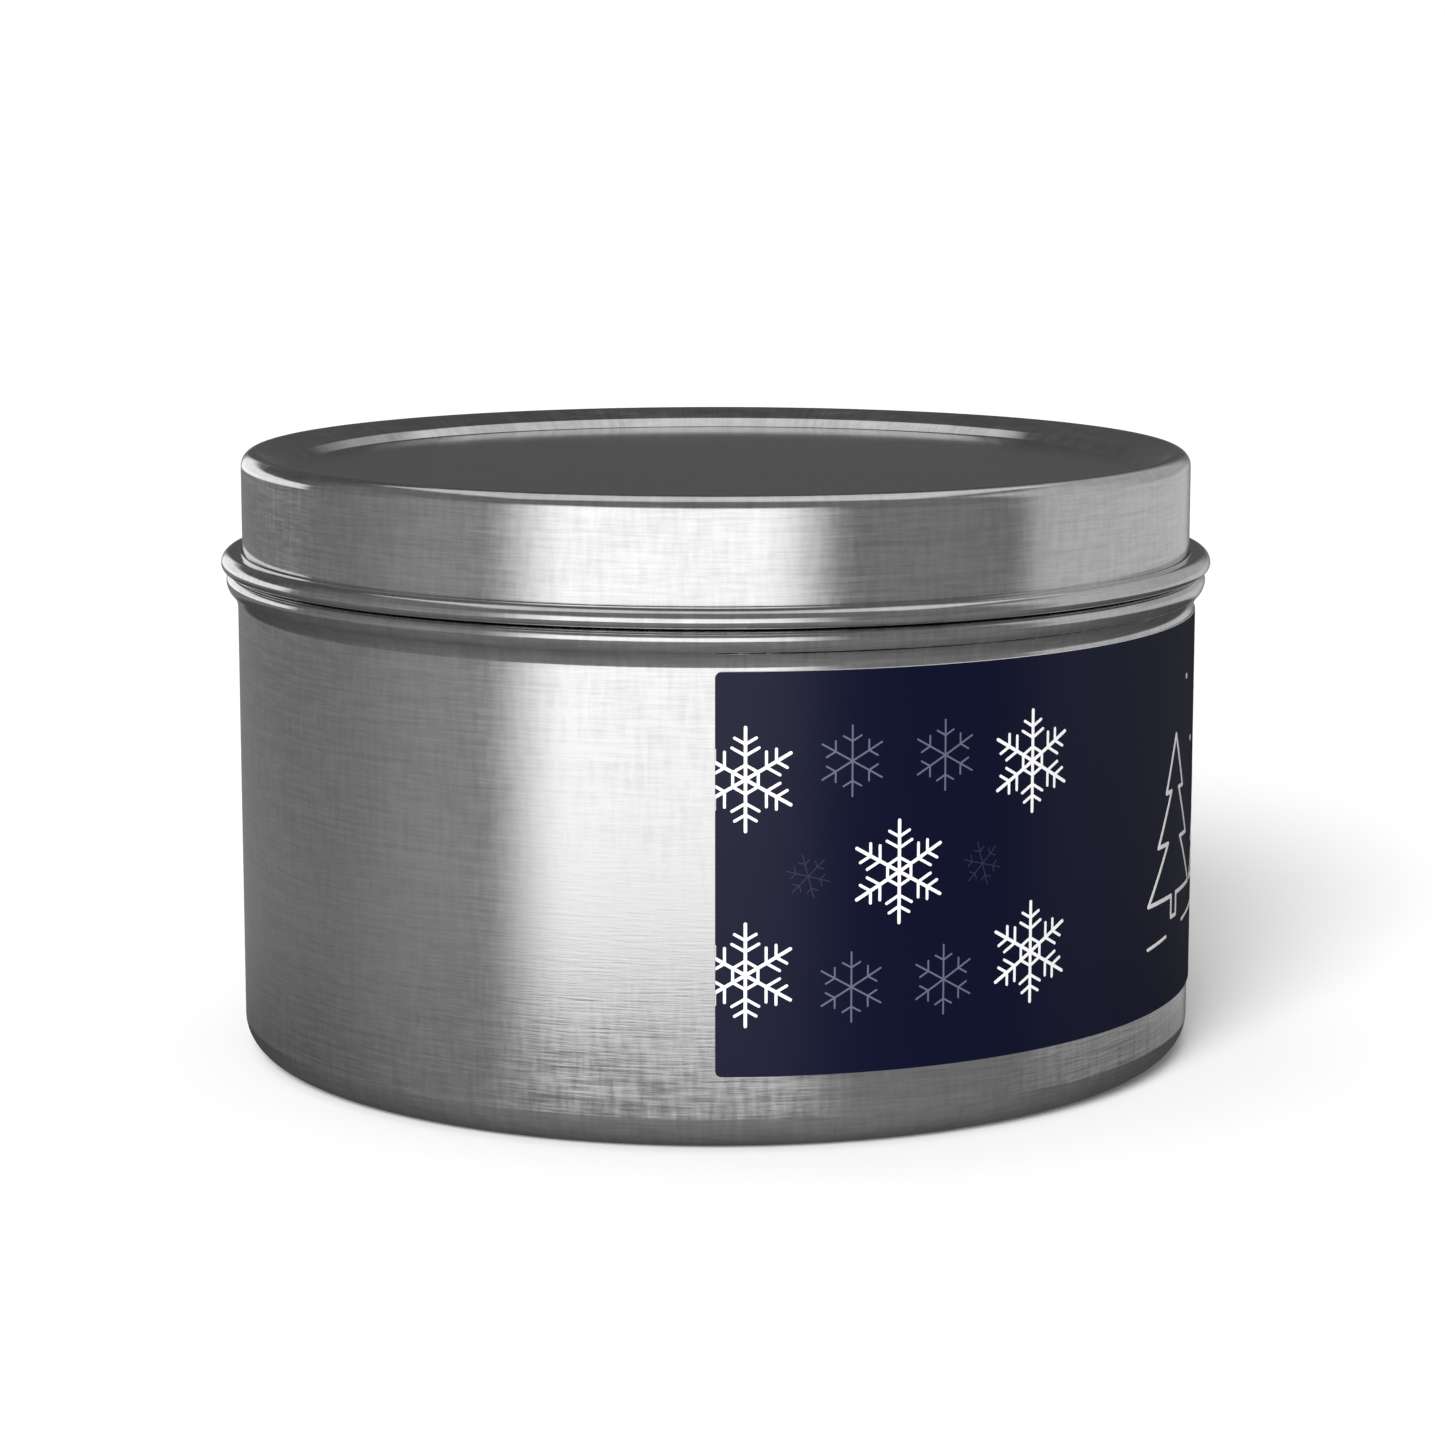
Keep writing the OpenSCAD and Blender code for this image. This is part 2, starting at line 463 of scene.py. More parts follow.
def candle_wax():
    """Creamy poured wax, with a faint frosting and a gently uneven top."""
    material = bpy.data.materials.new("candle_wax")
    nodes = Nodes(material)
    position = nodes.position()
    frosting = nodes.noise(nodes.scaled(position, (320, 320, 320)), 5, 0.62)
    swell = nodes.noise(nodes.scaled(position, (90, 90, 90)), 2)
    pores = nodes.add(
        "TexVoronoi", {"Vector": nodes.scaled(position, (1400, 1400, 1400)), "Scale": 1.0}
    ).outputs["Distance"]
    colour = nodes.blend(nodes.remap(frosting, 0.35, 0.65), (0.86, 0.8, 0.66), (0.93, 0.89, 0.78))
    height = nodes.total(
        [
            nodes.math("MULTIPLY", swell, 1.0),
            nodes.math("MULTIPLY", frosting, 0.12),
            nodes.math("MULTIPLY", pores, 0.02),
        ]
    )
    nodes.surface(
        Base_Color=colour,
        Roughness=nodes.remap(frosting, 0.3, 0.7, 0.36, 0.5),
        Subsurface_Weight=0.5,
        Subsurface_Radius=(2.4, 1.7, 1.0),
        Subsurface_Scale=MM,
        Coat_Weight=0.15,
        Coat_Roughness=0.3,
        Normal=nodes.bump(height, 0.25 * MM),
    )
    return material


def cotton():
    """Undyed cotton yarn: fine fibres along the wick, with a soft sheen."""
    material = bpy.data.materials.new("wick_cotton")
    nodes = Nodes(material)
    position = nodes.position()
    fibres = nodes.noise(nodes.scaled(position, (9000, 9000, 1500)), 3)
    soiling = nodes.noise(nodes.scaled(position, (500, 500, 200)), 2)
    tone = nodes.math(
        "ADD", nodes.math("MULTIPLY", fibres, 0.7), nodes.math("MULTIPLY", soiling, 0.3)
    )
    nodes.surface(
        Base_Color=nodes.blend(nodes.remap(tone, 0.3, 0.7), (0.7, 0.66, 0.57), (0.93, 0.91, 0.85)),
        Roughness=0.85,
        Sheen_Weight=0.4,
        Normal=nodes.bump(fibres, 0.03 * MM),
    )
    return material


def plated_steel():
    """Thin bright plate of the wick's foot, with rolling marks."""
    material = bpy.data.materials.new("plated_steel")
    nodes = Nodes(material)
    marks = nodes.noise(nodes.scaled(nodes.position(), (200, 3000, 200)), 2)
    nodes.surface(
        Base_Color=nodes.blend(marks, (0.6, 0.6, 0.62), (0.78, 0.78, 0.8)),
        Metallic=1.0,
        Roughness=nodes.remap(marks, 0, 1, 0.2, 0.34),
        Normal=nodes.bump(marks, 0.002 * MM),
    )
    return material


def adhesive_foam():
    """White closed-cell foam of the adhesive dot."""
    material = bpy.data.materials.new("adhesive_foam")
    nodes = Nodes(material)
    cells = nodes.add(
        "TexVoronoi", {"Vector": nodes.scaled(nodes.position(), (5000,) * 3), "Scale": 1.0}
    ).outputs["Distance"]
    nodes.surface(
        Base_Color=nodes.blend(cells, (0.94, 0.94, 0.92), (0.84, 0.84, 0.82)),
        Roughness=0.75,
        Normal=nodes.bump(cells, 0.05 * MM),
    )
    return material


# ---------------------------------------------------------------- mesh building


def add_piece(name, places, faces, paints, normals, materials):
    """Smooth mesh object with its own corner normals and a material index for each face."""
    mesh = bpy.data.meshes.new(name)
    mesh.from_pydata(places, [], faces)
    for material in materials:
        mesh.materials.append(material)
    mesh.polygons.foreach_set("use_smooth", [True] * len(faces))
    mesh.polygons.foreach_set("material_index", paints)
    mesh.normals_split_custom_set(normals)
    piece = bpy.data.objects.new(name, mesh)
    bpy.context.scene.collection.objects.link(piece)
    return piece


def lathe(name, runs, materials, segments=SEGMENTS):
    """Closed solid turned round Z.

    A run is a list of (radius, height, facing) points and the index of its material, where
    facing is the angle of the surface's normal in the section. Each run starts where the
    last one ended, with a hard edge between them, and the solid lies on the left of the
    direction of travel. The section starts and ends on the axis, or closes on itself.
    """
    angles = [2 * math.pi * i / segments for i in range(segments)]
    circle = [(math.cos(a), math.sin(a)) for a in angles]
    places, faces, paints, normals = [], [], [], []

    def add_ring(radius, height):
        first = len(places)
        if radius < CLEAR / 10:
            places.append((0, 0, height))
            return [first] * segments
        places.extend((radius * c, radius * s, height) for c, s in circle)
        return list(range(first, first + segments))

    def normal_of(facing, column):
        across = math.cos(math.radians(facing))
        c, s = circle[column]
        return (across * c, across * s, math.sin(math.radians(facing)))

    start = runs[0][0][0]
    last_point = runs[-1][0][-1]
    closes = start[0] > CLEAR / 10 and math.dist(start[:2], last_point[:2]) < CLEAR / 10
    first_ring = ring = add_ring(*start[:2])
    for points, paint in runs:
        for before, after in zip(points, points[1:]):
            ends_here = closes and after is last_point
            following = first_ring if ends_here else add_ring(*after[:2])
            for j in range(segments):
                k = (j + 1) % segments
                corners = [
                    (ring[j], before[2], j),
                    (ring[k], before[2], k),
                    (following[k], after[2], k),
                    (following[j], after[2], j),
                ]
                if ring[j] == ring[k]:
                    corners.pop(1)
                if following[j] == following[k]:
                    corners.pop(2)
                faces.append([corner[0] for corner in corners])
                paints.append(paint)
                normals.extend(normal_of(facing, column) for _, facing, column in corners)
            ring = following
    return add_piece(name, places, faces, paints, normals, materials)


def faced(points):
    """Gives each (radius, height) point of a smooth line its facing, from its neighbours."""
    result = []
    for i, point in enumerate(points):
        before = points[max(i - 1, 0)]
        after = points[min(i + 1, len(points) - 1)]
        heading = math.degrees(math.atan2(after[1] - before[1], after[0] - before[0]))
        result.append((*point, heading - 90))
    return result


def arc(centre, radius, first, last, step=BEND_STEP):
    """(radius, height) points round a circle in the section."""
    count = max(1, math.ceil(abs(last - first) / step))
    turns = [math.radians(first + (last - first) * i / count) for i in range(count + 1)]
    return [(centre[0] + radius * math.cos(t), centre[1] + radius * math.sin(t)) for t in turns]


# ---------------------------------------------------------------- bent sheet

# A bend is (centre radius, centre height, mid-sheet radius, first angle, last angle).


def polar(radius, angle):
    return Vector((radius * math.cos(math.radians(angle)), radius * math.sin(math.radians(angle))))


def bend_skin(bend, side):
    """One skin of a bend: side 1 is on the right of the direction of travel, -1 on the left."""
    centre_r, centre_z, radius, first, last = bend
    outside = side * math.copysign(1, last - first)
    facing = 0 if outside > 0 else 180
    count = max(1, math.ceil(abs(last - first) / BEND_STEP))
    points = []
    for i in range(count + 1):
        angle = first + (last - first) * i / count
        place = Vector((centre_r, centre_z)) + polar(radius + outside * HALF_SHEET, angle)
        points.append((place.x, place.y, angle + facing))
    return points


def sheet_runs(bends, start_z, middle_paint=0):
    """Runs of a bent sheet that starts flat on the axis, at mid-sheet height start_z."""
    right = [point for bend in bends for point in bend_skin(bend, 1)]
    left = [point for bend in bends for point in bend_skin(bend, -1)]
    left.reverse()
    first, last = bends[-1][3:]
    heading = last + math.copysign(90, last - first)
    cut = [(*right[-1][:2], heading), (*left[0][:2], heading)]
    under = [(0, start_z - HALF_SHEET, -90), right[0]]
    over = [left[-1], (0, start_z + HALF_SHEET, 90)]
    return [(under, middle_paint), (right, 0), (cut, 0), (left, 0), (over, middle_paint)]


def base_bends():
    """The pressed-up middle of the base, the standing ring and the rounded bottom edge."""
    standing_r = WALL_R - BOTTOM_R
    ring_start_r = standing_r - RING_W
    turn = math.radians(BASE_BEND_TURN)
    slope_h = BASE_RECESS - 2 * BASE_BEND_R * (1 - math.cos(turn))
    slope_w = slope_h / math.tan(turn) + 2 * BASE_BEND_R * math.sin(turn)
    mid_z = BASE_RECESS + HALF_SHEET
    return [
        (ring_start_r - slope_w, mid_z - BASE_BEND_R, BASE_BEND_R, 90, 90 - BASE_BEND_TURN),
        (ring_start_r, HALF_SHEET + BASE_BEND_R, BASE_BEND_R, 270 - BASE_BEND_TURN, 270),
        (standing_r, BOTTOM_R, BOTTOM_R - HALF_SHEET, 270, 360),
    ]


def neck_bends():
    """The bead's flare, its full curve, the seat for the lid, the neck and its curled edge."""
    bead_z = lid_low.z - HEM_SEAT_GAP - BEAD_TOP_R
    bead_cx = tin_high.x - BEAD_R
    flare_cx = WALL_R + FLARE_R
    flare_drop = math.sqrt((FLARE_R + BEAD_R) ** 2 - (flare_cx - bead_cx) ** 2)
    flare_turn = math.degrees(math.atan2(flare_drop, flare_cx - bead_cx))
    seat_mid_z = bead_z + BEAD_TOP_R - HALF_SHEET
    neck_mid_r = WALL_R - SKIRT_INSET - SHEET - SLIP_GAP - HALF_SHEET
    curl_z = tin_high.z - CURL_R - HALF_SHEET
    return [
        (flare_cx, bead_z - flare_drop, FLARE_R + HALF_SHEET, 180, 180 - flare_turn),
        (bead_cx, bead_z, BEAD_R - HALF_SHEET, -flare_turn, 0),
        (tin_high.x - BEAD_TOP_R, bead_z, BEAD_TOP_R - HALF_SHEET, 0, 90),
        (neck_mid_r + NECK_BEND_R, seat_mid_z + NECK_BEND_R, NECK_BEND_R, 270, 180),
        (neck_mid_r - CURL_R, curl_z, CURL_R, 0, CURL_TURN),
    ]


def lid_bends():
    """The step up from the panel, the sloping rim, the shoulder, the skirt and the hem."""
    skirt_r = WALL_R - SKIRT_INSET
    shoulder_mid_r = SHOULDER_R - HALF_SHEET
    shoulder_c = Vector((skirt_r - SHOULDER_R, TOTAL_H - SHOULDER_R))
    rim_end = shoulder_c + polar(shoulder_mid_r, 90 + RIM_TURN) - polar(RIM_W, RIM_TURN)
    step_high_c = rim_end - polar(STEP_HIGH_R, 90 + RIM_TURN)
    step_top = step_high_c + polar(STEP_HIGH_R, 90 + STEP_TURN)
    turn = math.radians(STEP_TURN)
    panel_mid_z = TOTAL_H - PANEL_DROP - HALF_SHEET
    foot_z = panel_mid_z + STEP_LOW_R * (1 - math.cos(turn))
    foot_r = step_top.x - (step_top.y - foot_z) / math.tan(turn)
    step_low_cx = foot_r - STEP_LOW_R * math.sin(turn)
    low_r = HEM_LOW_R - HALF_SHEET
    high_r = HEM_HIGH_R - HALF_SHEET
    hem_z = lid_low.z + HEM_LOW_R
    skirt_mid_r = skirt_r - HALF_SHEET
    return [
        (step_low_cx, panel_mid_z + STEP_LOW_R, STEP_LOW_R, 270, 270 + STEP_TURN),
        (*step_high_c, STEP_HIGH_R, 90 + STEP_TURN, 90 + RIM_TURN),
        (*shoulder_c, shoulder_mid_r, 90 + RIM_TURN, 0),
        (skirt_mid_r + low_r, hem_z, low_r, 180, 270),
        (lid_high.x - HEM_LOW_R, hem_z, low_r, 270, 360),
        (lid_high.x - HEM_HIGH_R, hem_z, high_r, 0, 90),
        (skirt_r + HEM_END_GAP, hem_z, high_r, 90, 90 + HEM_END_TURN),
    ]


def build_cup(steel):
    runs = sheet_runs(base_bends() + neck_bends(), BASE_RECESS + HALF_SHEET)
    cup = lathe("steel_cup", runs, [steel])
    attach(cup, "tin")
    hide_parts("tin_body")


def build_lid(steel, panel):
    panel_mid_z = TOTAL_H - PANEL_DROP - HALF_SHEET
    lid = lathe("slip_lid", sheet_runs(lid_bends(), panel_mid_z, middle_paint=1), [steel, panel])
    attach(lid, "lid")
    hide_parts("lid")


# ---------------------------------------------------------------- side label

# Places on the flat label are in millimetres: s runs along it from its left edge, which is at
# the front of the tin, and z is the height above the standing face.
LABEL_WRAP = 250
LABEL_LENGTH_MM = math.radians(LABEL_WRAP) * LABEL_R / MM
LABEL_LOW_MM = label_low.z / MM
LABEL_HIGH_MM = label_high.z / MM
LABEL_CORNER_MM = 0.5
INK_HEIGHT = 0.02 * MM
INK_MARGIN_MM = 0.12


def on_label(s_mm, z_mm, radius):
    """Place on the wrapped label, at a radius, of a point of the flat one."""
    angle = s_mm * MM / LABEL_R - math.pi / 2
    return (radius * math.cos(angle), radius * math.sin(angle), z_mm * MM)


def outward(place):
    return tuple(Vector((place[0], place[1], 0)).normalized())


def corner_inset(distance):
    """How far the label's top and bottom edges are cut back, this far in from its end."""
    left = LABEL_CORNER_MM - min(distance, LABEL_CORNER_MM)
    return LABEL_CORNER_MM - math.sqrt(LABEL_CORNER_MM**2 - left**2)


def label_columns():
    """Distances along the label: close together in the rounded corners, then every degree."""
    corner = [LABEL_CORNER_MM * (1 - math.cos(math.radians(a))) for a in range(0, 90, 15)]
    middle_steps = LABEL_WRAP
    span = LABEL_LENGTH_MM - 2 * LABEL_CORNER_MM
    middle = [LABEL_CORNER_MM + span * i / middle_steps for i in range(middle_steps + 1)]
    return corner + middle + [LABEL_LENGTH_MM - s for s in reversed(corner)]


def build_label(navy, white_edge):
    """Film wrapped round the wall, as one closed strip with rounded corners."""
    inner_r = WALL_R + CLEAR
    places, faces, paints, normals = [], [], [], []
    columns = label_columns()
    for s in columns:
        inset = corner_inset(min(s, LABEL_LENGTH_MM - s))
        low, high = LABEL_LOW_MM + inset, LABEL_HIGH_MM - inset
        places += [on_label(s, low, LABEL_R), on_label(s, high, LABEL_R)]
        places += [on_label(s, high, inner_r), on_label(s, low, inner_r)]

    def add_face(corners, directions, paint):
        faces.append(corners)
        normals.extend(directions)
        paints.append(paint)

    for i in range(len(columns) - 1):
        a, b = 4 * i, 4 * (i + 1)
        here, there = Vector(outward(places[a])), Vector(outward(places[b]))
        add_face([a, b, b + 1, a + 1], [here, there, there, here], 0)
        add_face([a + 3, a + 2, b + 2, b + 3], [-here, -here, -there, -there], 1)
        add_face([a + 1, b + 1, b + 2, a + 2], [(0, 0, 1)] * 4, 1)
        add_face([a, a + 3, b + 3, b], [(0, 0, -1)] * 4, 1)
    end = 4 * (len(columns) - 1)
    left_side = Vector(outward(places[0])).cross(Vector((0, 0, 1)))
    right_side = Vector((0, 0, 1)).cross(Vector(outward(places[end])))
    add_face([0, 1, 2, 3], [left_side] * 4, 1)
    add_face([end, end + 3, end + 2, end + 1], [right_side] * 4, 1)
    label = add_piece("wrap_label", places, faces, paints, normals, [navy, white_edge])
    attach(label, "tin")
    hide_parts("side_label")


# ---------------------------------------------------------------- printing on the label

STROKE_STEP_MM = 0.7
CAP_STEPS = 6


def stroke(start, end, width):
    """Outline of a round-ended line between two points of the flat label."""
    heading = math.degrees(math.atan2(end[1] - start[1], end[0] - start[0]))
    cuts = max(1, math.ceil(math.dist(start, end) / STROKE_STEP_MM))
    start, end = Vector(start), Vector(end)
    outline = []
    for first, last, side in ((start, end, -90), (end, start, 90)):
        edge = polar(width / 2, heading + side)
        outline += [first.lerp(last, i / cuts) + edge for i in range(cuts)]
        turns = [heading + side + 180 * i / CAP_STEPS for i in range(CAP_STEPS)]
        outline += [last + polar(width / 2, turn) for turn in turns]
    return outline


def polyline(points, width):
    return [stroke(a, b, width) for a, b in zip(points, points[1:])]


def dot(centre, radius):
    return [Vector(centre) + polar(radius, turn) for turn in range(0, 360, 30)]


def branches(centre, size, heading, start, length, width):
    """A pair of side branches that leave an arm at start, at 60 degrees to each side of it."""
    root = centre + polar(size * start, heading)
    tips = [root + polar(size * length, heading + side) for side in (-60, 60)]
    return [stroke(root, tip, size * width) for tip in tips]


# A flake's lengths and line widths, as shares of its size. A pair of branches is given by
# where it leaves the arm and how long it is.
LARGE_ARM_WIDTH = 0.066
LARGE_BRANCH_WIDTH = 0.056
LARGE_BRANCHES = [(0.68, 0.24), (0.46, 0.3)]
RING_RADIUS = 0.28
SMALL_LINE_WIDTH = 0.05
SMALL_BRANCH = (0.56, 0.3)


def ringed_flake(centre, size, turn):
    """Plain large snowflake: six arms joined by a hexagon, each with two pairs of branches."""
    centre = Vector(centre)
    strokes = []
    for i in range(6):
        arm = 90 + turn + 60 * i
        strokes.append(stroke(centre, centre + polar(size, arm), size * LARGE_ARM_WIDTH))
        for start, length in LARGE_BRANCHES:
            strokes += branches(centre, size, arm, start, length, LARGE_BRANCH_WIDTH)
        ring = [centre + polar(size * RING_RADIUS, arm + side) for side in (0, 60)]
        strokes.append(stroke(*ring, size * LARGE_BRANCH_WIDTH))
    return strokes


def plain_flake(centre, size, turn):
    """Plain small snowflake: six thin arms, each with one pair of branches."""
    centre = Vector(centre)
    strokes = []
    for i in range(6):
        arm = 90 + turn + 60 * i
        strokes.append(stroke(centre, centre + polar(size, arm), size * SMALL_LINE_WIDTH))
        strokes += branches(centre, size, arm, *SMALL_BRANCH, SMALL_LINE_WIDTH)
    return strokes


# Right half of a fir's outline, as shares of its height: three boughs and a short trunk.
FIR_HALF = [
    (0, 1),
    (0.2, 0.7),
    (0.09, 0.7),
    (0.34, 0.42),
    (0.15, 0.42),
    (0.5, 0.12),
    (0.06, 0.12),
    (0.06, 0),
]
FIR_SLIMNESS = 0.8


def fir_tree(s, ground, height, width):
    """Line drawing of a fir: a notched outline on a short trunk."""
    left_half = [(-x, y) for x, y in reversed(FIR_HALF)]
    breadth = height * FIR_SLIMNESS
    points = [(s + x * breadth, ground + y * height) for x, y in FIR_HALF + left_half]
    return polyline(points, width)


def ink_triangles(strokes):
    """Triangles of the union of the strokes, cut off at the label's edges."""
    low, high = LABEL_LOW_MM + INK_MARGIN_MM, LABEL_HIGH_MM - INK_MARGIN_MM
    left, right = INK_MARGIN_MM / 4, LABEL_LENGTH_MM - INK_MARGIN_MM / 4
    page = [Vector(p) for p in ((left, low), (right, low), (right, high), (left, high))]
    points, outlines = [], []
    for outline in [page, *strokes]:
        outlines.append(list(range(len(points), len(points) + len(outline))))
        points += outline
    found = delaunay_2d_cdt(points, [], outlines, 1, 0.00001)
    places, triangles, sources = found[0], found[2], found[5]
    inked = [t for t, source in zip(triangles, sources) if 0 in source and len(source) > 1]
    return places, inked


def build_print(name, motifs, ink):
    """Thin closed film of ink on the label for each motif, as one piece."""
    places, faces, normals = [], [], []
    bottom_r, top_r = LABEL_R - INK_HEIGHT / 4, LABEL_R + INK_HEIGHT
    for strokes in motifs:
        flat, triangles = ink_triangles(strokes)
        used = sorted({corner for triangle in triangles for corner in triangle})
        number = {corner: len(places) + 2 * i for i, corner in enumerate(used)}
        for corner in used:
            places.append(on_label(*flat[corner], top_r))
            places.append(on_label(*flat[corner], bottom_r))
        edges = {}
        for triangle in triangles:
            top = [number[corner] for corner in triangle]
            faces.append(top)
            normals += [outward(places[corner]) for corner in top]
            under = [corner + 1 for corner in reversed(top)]
            faces.append(under)
            normals += [tuple(-Vector(outward(places[corner]))) for corner in under]
            for a, b in zip(top, top[1:] + top[:1]):
                edges[(a, b)] = (b, a)
        for (a, b), reverse in edges.items():
            if reverse not in edges:
                faces.append([b, a, a + 1, b + 1])
                along = Vector(places[b]) - Vector(places[a])
                side = along.cross(Vector(outward(places[a]))).normalized()
                normals += [tuple(side)] * 4
    piece = add_piece(name, places, faces, [0] * len(faces), normals, [ink])
    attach(piece, "tin")


# Snowflakes stand round a centre near the label's left end: how large each kind is, and how
# far it stands from that centre, along the label and up. The right end mirrors them.
FLAKES_CENTRE = (14.24, 21.4)
LARGE_FLAKE_MM = 3.95
LARGE_APART = (11.96, 7.5)
MEDIUM_FLAKE_MM = 2.7
MEDIUM_APART = (3.8, 8.7)
SMALL_FLAKE_MM = 1.73
SMALL_APART = (7.2, 0)
SMALL_FLAKE_TURN = 15

# Firs in the middle of the label, as (s, height), on a snowy ground line.
FIRS = [(48, 15), (59, 10), (69, 18), (80, 12), (91, 19), (102, 11), (112, 16), (124, 9.5)]
GROUND_MM = 13.0
FIR_LINE_MM = 0.34
# How far the scene stays from the label's ends, and the room round a trunk and beside a fir.
SCENE_INSET_MM = 42.0
TRUNK_ROOM_MM = 1.6
FIR_ROOM = 0.32
SNOW_DROP_MM = 1.2
SNOW_DOTS = 34
SNOW_HEIGHTS = (20, 34.5)
GOLDEN_SHARE = 0.618034


def ground_height(s):
    return GROUND_MM + 0.7 * math.sin(s / 7.5)


def round_centre(apart):
    """Places at the corners of a rectangle round the flakes' centre, or at its two ends."""
    s, z = FLAKES_CENTRE
    heights = (-apart[1], apart[1]) if apart[1] else (0,)
    return [(s + side * apart[0], z + height) for side in (-1, 1) for height in heights]


def both_ends(places, draw, size, turn=0):
    motifs = []
    for s, z in places:
        motifs.append(draw((s, z), size, turn))
        motifs.append(draw((LABEL_LENGTH_MM - s, z), size, -turn))
    return motifs


def large_flakes():
    return both_ends([FLAKES_CENTRE, *round_centre(LARGE_APART)], ringed_flake, LARGE_FLAKE_MM)


def medium_flakes():
    return both_ends(round_centre(MEDIUM_APART), plain_flake, MEDIUM_FLAKE_MM)


def small_flakes():
    return both_ends(round_centre(SMALL_APART), plain_flake, SMALL_FLAKE_MM, SMALL_FLAKE_TURN)


def snow_ground(start, end):
    """Broken line of snow under the firs, open where a trunk stands."""
    count = round(end - start)
    step = (end - start) / count
    lines = []
    for i in range(count):
        a, b = start + i * step, start + (i + 1) * step
        near_tree = any(abs((a + b) / 2 - s) < TRUNK_ROOM_MM for s, _ in FIRS)
        if not near_tree and i % 9 < 7:
            line = [(a, ground_height(a) - SNOW_DROP_MM), (b, ground_height(b) - SNOW_DROP_MM)]
            lines.append(polyline(line, FIR_LINE_MM * 0.8))
    return lines


def clear_of_firs(s, z):
    return all(
        abs(s - tree) > FIR_ROOM * height or z > height + GROUND_MM + 1 for tree, height in FIRS
    )


def falling_snow(start, end):
    """Dots of snow above the ground, spread evenly by the golden share."""
    low, high = SNOW_HEIGHTS
    dots = []
    for i in range(SNOW_DOTS):
        s = start + (end - start) * ((i + 0.5) / SNOW_DOTS)
        z = low + (high - low) * ((i * GOLDEN_SHARE) % 1)
        if clear_of_firs(s, z):
            dots.append([dot((s, z), 0.16 + 0.12 * ((i * GOLDEN_SHARE * 2) % 1))])
    return dots


def winter_scene():
    """Motifs of the label's middle: firs, the snow they stand on, and falling snow."""
    firs = [fir_tree(s, ground_height(s), height, FIR_LINE_MM) for s, height in FIRS]
    start, end = SCENE_INSET_MM, LABEL_LENGTH_MM - SCENE_INSET_MM
    return firs + snow_ground(start, end) + falling_snow(start, end)


# ---------------------------------------------------------------- candle


# Sheet of the wick's foot, and the wall of its crimped neck.
FOOT_T = 0.3 * MM
FOOT_NECK_T = 0.6 * MM


def wax_top(radius):
    """Height of the wax: it sinks a little on cooling, and climbs at the wall and the wick."""
    inner_r = wax_high.x
    sink = 0.35 * MM * math.cos(math.pi / 2 * (radius / inner_r) ** 2)
    at_wall = 0.3 * MM * math.exp(-(inner_r - radius) / (1.1 * MM))
    at_wick = 0.75 * MM * math.exp(-(radius - wick_high.x) / (0.8 * MM))
    return wax_high.z - 0.1 * MM - sink + at_wall + at_wick


def build_wax(material):
    """Wax that fills the cup round the wick, its foot and the adhesive dot."""
    wall_skin = [point for bend in base_bends() for point in bend_skin(bend, -1)]
    floor_line = []
    for radius, height, facing in wall_skin:
        inward = max(0, -math.cos(math.radians(facing)))
        floor_line.append((radius - CLEAR * inward, height + CLEAR, facing + 180))
    side_r = wax_high.x - CLEAR
    dot_r = sticker_high.x + CLEAR
    foot_r = foot_high.x + CLEAR
    neck_r = wick_high.x + FOOT_NECK_T + CLEAR
    bore_r = wick_high.x + CLEAR
    floor_z = BASE_RECESS + SHEET + CLEAR
    plate_top = foot_low.z + FOOT_T + CLEAR
    radii = [side_r - (side_r - bore_r) * (i / 60) ** 1.6 for i in range(61)]
    near_wick = [bore_r + 4 * MM * (1 - i / 12) ** 1.5 for i in range(13)]
    radii = [r for r in radii if r > near_wick[0] + 0.2 * MM] + near_wick
    top = faced([(r, wax_top(r)) for r in radii])

    def wall(first, last, facing):
        return [(*first, facing), (*last, facing)]

    bottom = [(dot_r, floor_z, -90)] + [point for point in floor_line if point[0] > dot_r]
    bottom.append((side_r, top[0][1], 0))
    neck_top = foot_high.z + CLEAR
    dot_top = sticker_high.z
    runs = [
        bottom,
        top,
        wall((bore_r, top[-1][1]), (bore_r, neck_top), 180),
        wall((bore_r, neck_top), (neck_r, neck_top), -90),
        wall((neck_r, neck_top), (neck_r, plate_top), 180),
        wall((neck_r, plate_top), (foot_r, plate_top), -90),
        wall((foot_r, plate_top), (foot_r, dot_top), 180),
        wall((foot_r, dot_top), (dot_r, dot_top), 90),
        wall((dot_r, dot_top), (dot_r, floor_z), 180),
    ]
    wax = lathe("poured_wax", [(run, 0) for run in runs], [material])
    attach(wax, "tin")
    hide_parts("wax_fill")


STRANDS = 4
STRAND_R = 0.27 * MM
BRAID_R = 0.68 * MM
BRAID_WAVE = 0.12 * MM
BRAID_PITCH = 4.6 * MM


def tube(path, radius, sides, places, faces):
    """Adds a closed round tube along a path of points to the lists."""
    first = len(places)
    for i, point in enumerate(path):
        along = (path[min(i + 1, len(path) - 1)] - path[max(i - 1, 0)]).normalized()
        across = along.cross(Vector((0.3, 0.2, 0.05))).normalized()
        other = along.cross(across)
        for j in range(sides):
            turn = 2 * math.pi * j / sides
            places.append(tuple(point + radius * (math.cos(turn) * across + math.sin(turn) * other)))
    for i in range(len(path) - 1):
        for j in range(sides):
            a = first + i * sides + j
            b = first + i * sides + (j + 1) % sides
            faces.append([a, b, b + sides, a + sides])
    faces.append([first + j for j in reversed(range(sides))])
    last = first + (len(path) - 1) * sides
    faces.append([last + j for j in range(sides)])


